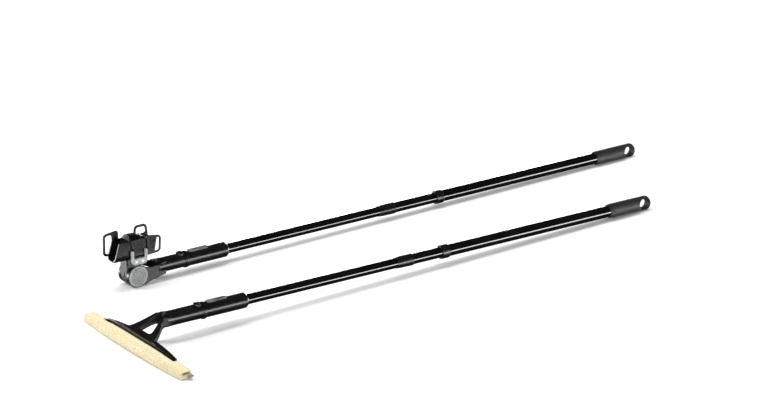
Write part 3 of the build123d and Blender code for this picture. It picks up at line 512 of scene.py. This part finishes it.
def holder_turn():
    """The small rotation by which the holder pole is tipped, from the axis of its sliding joint."""
    axis = next(Vector(joint["axis"]) for joint in frame["record"]["behaviour"]["joints"]
                if joint["name"] == "holder_middle_slide")
    return Vector((-1, 0, 0)).rotation_difference(axis).to_matrix()


def straps(material):
    """The three looped straps, each on its own flap."""
    turn, bead, droop = holder_turn(), STRAP_T / 2, -0.05
    left, right, rear = LOOPS
    middle = middle_of(left.node)
    loop_strap(left, Vector((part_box(left.node)[1].x - bead, middle.y, middle.z)),
               turn @ Vector((-1, 0, 0)), material)
    middle = middle_of(right.node)
    loop_strap(right, Vector((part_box(right.node)[0].x + bead, middle.y, middle.z)),
               turn @ Vector((1, 0, droop)).normalized(), material)
    middle = middle_of(rear.node)
    loop_strap(rear, Vector((middle.x, middle.y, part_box(rear.node)[0].z + bead)),
               turn @ Vector((0, 0, 1)), material)


def tongue(material):
    """Studded rubber tongue in front of the cradle, in place of its CAD solid."""
    low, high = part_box("strap_front")
    size = high - low
    half, drop, thickness = size.x / 2, size.z, size.y
    shoulder, left_step, right_step, edge = drop * 0.5, 2.0 * MM, 4.0 * MM, 0.9 * MM
    corners = [(-half, 0), (-half, -shoulder), (-half + left_step, -shoulder - left_step),
               (-half + left_step, -drop), (half - right_step, -drop),
               (half - right_step, -shoulder - right_step), (half, -shoulder), (half, 0)]
    radii = [1.0 * MM, 1.0 * MM, 1.0 * MM, 4.0 * MM, 4.0 * MM, 1.5 * MM, 1.5 * MM, 1.0 * MM]
    panel = plate([rounded(corners, radii)], thickness, edge)
    rows, columns, pitch, top, stud_height = 5, 4, 4.6 * MM, 5.0 * MM, 0.9 * MM
    stud_size, middle, face = 2.8 * MM, -right_step / 4, thickness / 2 - STUD_SUNK
    places = []
    for row in range(rows):
        for column in range(columns):
            x = middle + (column - (columns - 1) / 2) * pitch
            places.append(Matrix.Translation((x, -top - row * pitch, face)))
    mesh = join_meshes([panel, studs_at(places, stud_size, stud_height)])
    upright = Matrix.Rotation(math.pi / 2, 4, "X")
    place = Matrix.Translation(((low.x + high.x) / 2, (low.y + high.y) / 2, high.z)) @ upright
    piece = solid("strap_front_tongue", mesh, place, material)
    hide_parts("strap_front")
    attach(piece, "strap_front_flap")


# ---------------------------------------------------------------- microfibre pad
PAD_VOXEL = 2.0 * MM
PUFF_FRAMES, PUFF_PRESSURE, PUFF_CAP = 20, 4.0, 1.6 * MM
PILE_DEPTH, TUFT_PITCH = 0.45 * MM, 1.9 * MM
FINE_TUFTS, FINE_SHARE = 2.3, 0.5           # finer tufts: how many times finer, and how strong
END_TAPER = 0.45                            # share of the free front that is drawn in at the pad's ends
POCKET_MARGIN, SOLE = 1.6 * MM, 0.4 * MM    # how near a point counts as on the pocket's wall, or on the floor
STITCH_STEP, STITCH_SHARE, STITCH_MARGIN = 4.0 * MM, 0.6, 6.0 * MM
STITCH_ROWS = (3.0 * MM, 5.5 * MM)          # how far ahead of the plate each row of stitches runs


def inside_pocket(point, plate_low, plate_high):
    """True for a point of the pad that lies on the walls of the plate's pocket or on the floor."""
    in_height = plate_low.z - POCKET_MARGIN < point.z < plate_high.z + POCKET_MARGIN
    return point.z < SOLE or (in_height and point.x > plate_low.x - POCKET_MARGIN)


def puffed(pad, pinned):
    """Inflate a pad a little as cloth, with the pinned vertices held and the movement capped."""
    group = pad.vertex_groups.new(name="held")
    group.add(pinned, 1.0, "REPLACE")
    before = [vertex.co.copy() for vertex in pad.data.vertices]
    cloth = pad.modifiers.new("puff", "CLOTH")
    cloth.settings.use_pressure = True
    cloth.settings.uniform_pressure_force = PUFF_PRESSURE
    cloth.settings.effector_weights.gravity = 0.0
    cloth.settings.vertex_group_mass = group.name
    cloth.point_cache.frame_start, cloth.point_cache.frame_end = 1, PUFF_FRAMES
    for number in range(1, PUFF_FRAMES + 1):
        bpy.context.scene.frame_set(number)
    bake(pad)
    for vertex, start in zip(pad.data.vertices, before):
        move = vertex.co - start
        if move.length > PUFF_CAP:
            vertex.co = start + move.normalized() * PUFF_CAP


def pad_cushion(material):
    """Microfibre pad: the CAD solid remeshed, puffed as cloth, then tapered and given its pile."""
    low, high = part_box("microfibre_pad")
    plate_low, plate_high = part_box("pad_carrier")
    pad = link("microfibre_cushion", NODES["microfibre_pad"].data.copy())
    remesh = pad.modifiers.new("voxels", "REMESH")
    remesh.mode, remesh.voxel_size = "VOXEL", PAD_VOXEL
    bake(pad)
    pinned = [vertex.index for vertex in pad.data.vertices if inside_pocket(vertex.co, plate_low, plate_high)]
    puffed(pad, pinned)
    smooth = pad.modifiers.new("smooth", "SUBSURF")
    smooth.levels = 1
    bake(pad)
    pile(pad, low, high, plate_low, plate_high)
    pad.data.materials.clear()
    pad.data.materials.append(material)
    pad.data.shade_smooth()
    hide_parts("microfibre_pad")
    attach(pad, "pad")
    return pad


def pile(pad, low, high, plate_low, plate_high):
    """Taper the pad's free front towards its ends, and raise tufts over its outside."""
    middle_y, half = (low.y + high.y) / 2, (high.y - low.y) / 2
    for vertex in pad.data.vertices:
        place = vertex.co
        if inside_pocket(place, plate_low, plate_high):
            continue
        share = abs(place.y - middle_y) / half
        tufts = noise.noise(place / TUFT_PITCH) + FINE_SHARE * noise.noise(place / TUFT_PITCH * FINE_TUFTS)
        vertex.co = place + vertex.normal * tufts * PILE_DEPTH
        if place.x < plate_low.x:
            vertex.co.x += (plate_low.x - place.x) * END_TAPER * share ** 3
        vertex.co.z = max(vertex.co.z, 0.0)


def surface_height(tree, x, y, above):
    """Height of the highest point of a mesh over (x, y)."""
    place = tree.ray_cast(Vector((x, y, above)), Vector((0, 0, -1)))[0]
    return place.z if place else None


def pad_sewing(pad, thread):
    """Two rows of lock stitches along the pad's top, ahead of the bar."""
    low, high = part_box("microfibre_pad")
    plate_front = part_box("pad_carrier")[0].x
    tree = BVHTree.FromObject(pad, bpy.context.evaluated_depsgraph_get())
    above, reach = high.z + 50.0 * MM, STITCH_STEP * STITCH_SHARE
    count = int((high.y - low.y - 2 * STITCH_MARGIN) / STITCH_STEP)
    stitches = []
    for inset in STITCH_ROWS:
        x = plate_front - inset
        for index in range(count):
            y = low.y + STITCH_MARGIN + index * STITCH_STEP
            z0 = surface_height(tree, x, y, above)
            z1 = surface_height(tree, x, y + reach, above)
            if z0 is None or z1 is None:
                continue
            stitches.append(stitch(Vector((x, y, z0)), Vector((x, y + reach, z1))))
    rows = solid("pad_stitches", join_meshes(stitches), Matrix.Identity(4), thread)
    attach(rows, "pad")


def stitch(start, end):
    """Mesh of one lock stitch: a small bowed, round-ended stroke of thread."""
    thread_r, end_share, bow, sides, rings = 0.28 * MM, 0.35, 0.25 * MM, 6, 6
    body = bmesh.new()
    along = (end - start).normalized()
    side = along.cross(Vector((0, 0, 1))).normalized()
    up = side.cross(along)
    circles = []
    for ring in range(rings + 1):
        share = ring / rings
        swell = math.sin(math.pi * share)
        centre = start.lerp(end, share) + up * bow * swell
        radius = thread_r * (end_share + (1 - end_share) * swell ** 0.5)
        circles.append([body.verts.new(centre + (side * math.cos(turn) + up * math.sin(turn)) * radius)
                        for turn in (2 * math.pi * index / sides for index in range(sides))])
    for ring, following in zip(circles, circles[1:]):
        for index in range(sides):
            beside = (index + 1) % sides
            body.faces.new((ring[index], ring[beside], following[beside], following[index]))
    body.faces.new(circles[0][::-1])
    body.faces.new(circles[-1])
    mesh = bpy.data.meshes.new("stitch")
    body.to_mesh(mesh)
    body.free()
    return mesh


def tab_loop(material):
    """Folded webbing loop sewn on the near end of the pad, in place of its CAD solid."""
    low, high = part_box("pull_tab")
    thickness, steps, fold_length = 0.7 * MM, 14, 1.6
    middle, drop = (low.z + high.z) / 2, (high.z - low.z) / 2
    reach = drop * fold_length
    fold = []
    for step in range(steps + 1):
        turn = math.pi * (0.5 + step / steps)
        fold.append((low.y + reach + math.cos(turn) * reach, middle + math.sin(turn) * drop))
    profile = [(high.y, middle + drop)] + fold + [(high.y, middle - drop)]
    body = bmesh.new()
    columns = []
    for x in (low.x, (low.x + high.x) / 2, high.x):
        columns.append([body.verts.new((x, y, z)) for y, z in profile])
    for left, right in zip(columns, columns[1:]):
        for index in range(len(profile) - 1):
            body.faces.new((left[index], left[index + 1], right[index + 1], right[index]))
    mesh = bpy.data.meshes.new("tab")
    body.to_mesh(mesh)
    body.free()
    piece = solid("pull_tab_loop", mesh, Matrix.Identity(4), material)
    thick = piece.modifiers.new("thick", "SOLIDIFY")
    thick.thickness = thickness
    thick.offset = 0.0
    smooth = piece.modifiers.new("smooth", "SUBSURF")
    smooth.levels = 2
    bake(piece)
    piece.data.shade_smooth()
    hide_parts("pull_tab")
    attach(piece, "pad")


# ---------------------------------------------------------------- studio
WORLD_LIGHT, WORLD_GLOW = 0.8, 0.03         # strength of the surroundings as a light, and in reflections
BAND_GLOW, FLOOR_GLOW = 14.0, 0.04          # what reflections see of the floor: far off, and underfoot


def floor():
    """Seamless white floor; in reflections it is a bright band at the horizon and dark underfoot."""
    size, underfoot, horizon = 30.0, 0.28, 0.20
    bpy.ops.mesh.primitive_plane_add(size=size, location=(0, 0, 0))
    plane = bpy.context.object
    plane.name = "studio_floor"
    s = Shader("studio_white")
    s.finish((0.9, 0.9, 0.9), s.ramp(s.noise(3.0), 0.7, 0.8), Specular_IOR_Level=0.0)
    height = s.add("ShaderNodeSeparateXYZ", Vector=s.add("ShaderNodeNewGeometry").outputs["Incoming"])
    glow = s.ramp(height.outputs["Z"], BAND_GLOW, FLOOR_GLOW, horizon, underfoot)
    band = s.add("ShaderNodeEmission", Strength=glow)
    seen = s.add("ShaderNodeMixShader")
    s.feed(seen, 0, s.add("ShaderNodeLightPath").outputs["Is Glossy Ray"])
    s.feed(seen, 1, s.surface.outputs["BSDF"])
    s.feed(seen, 2, band.outputs["Emission"])
    s.feed(s.tree.nodes["Material Output"], "Surface", seen.outputs["Shader"])
    plane.data.materials.append(s.material)


def soft_light(name, place, target, size, power):
    """Rectangular soft box aimed at a point, left out of reflections."""
    data = bpy.data.lights.new(name, "AREA")
    data.shape = "RECTANGLE"
    data.size, data.size_y = size
    data.energy = power
    lamp = bpy.data.objects.new(name, data)
    lamp.location = place
    lamp.visible_glossy = False
    lamp.rotation_euler = (Vector(target) - Vector(place)).to_track_quat("-Z", "Y").to_euler()
    bpy.context.scene.collection.objects.link(lamp)


def studio():
    """White surroundings that are dark in reflections, a soft box overhead and one near the heads."""
    world = bpy.data.worlds.new("studio_world")
    world.use_nodes = True
    tree = world.node_tree
    background = tree.nodes["Background"]
    path = tree.nodes.new("ShaderNodeLightPath")
    level = tree.nodes.new("ShaderNodeMapRange")
    level.inputs["To Min"].default_value, level.inputs["To Max"].default_value = WORLD_LIGHT, WORLD_GLOW
    tree.links.new(path.outputs["Is Glossy Ray"], level.inputs["Value"])
    tree.links.new(level.outputs["Result"], background.inputs["Strength"])
    background.inputs["Color"].default_value = (1.0, 1.0, 1.0, 1.0)
    bpy.context.scene.world = world
    soft_light("overhead", (0.1, 0.4, 2.6), (0, 0, 0), (2.6, 0.7), 42.0)
    soft_light("head_box", (-1.6, 0.9, 1.3), (-0.55, 0.1, 0), (0.5, 0.5), 14.0)
    bpy.context.scene.view_settings.view_transform = "Standard"


def camera():
    """Long lens, 20 degrees above the floor, seen from ahead of the heads and to their side."""
    data = bpy.data.cameras.new("camera")
    data.lens, data.sensor_width = 135.0, 36.0
    eye = bpy.data.objects.new("camera", data)
    eye.location = GRIP_END + Vector((-3.589, -4.051, 1.914))
    target = GRIP_END + Vector((-0.604, 0.031, 0.020))
    eye.rotation_euler = (target - eye.location).to_track_quat("-Z", "Y").to_euler()
    bpy.context.scene.collection.objects.link(eye)
    bpy.context.scene.camera = eye


materials = make_materials()
paint_nodes(materials)
straps(materials["black_rubber"])
tongue(strap_rubber("tongue_rubber", (0.075, 0.075, 0.072)))
cushion = pad_cushion(materials["microfibre"])
pad_sewing(cushion, sewing_thread())
tab_loop(materials["webbing"])
floor()
studio()
camera()
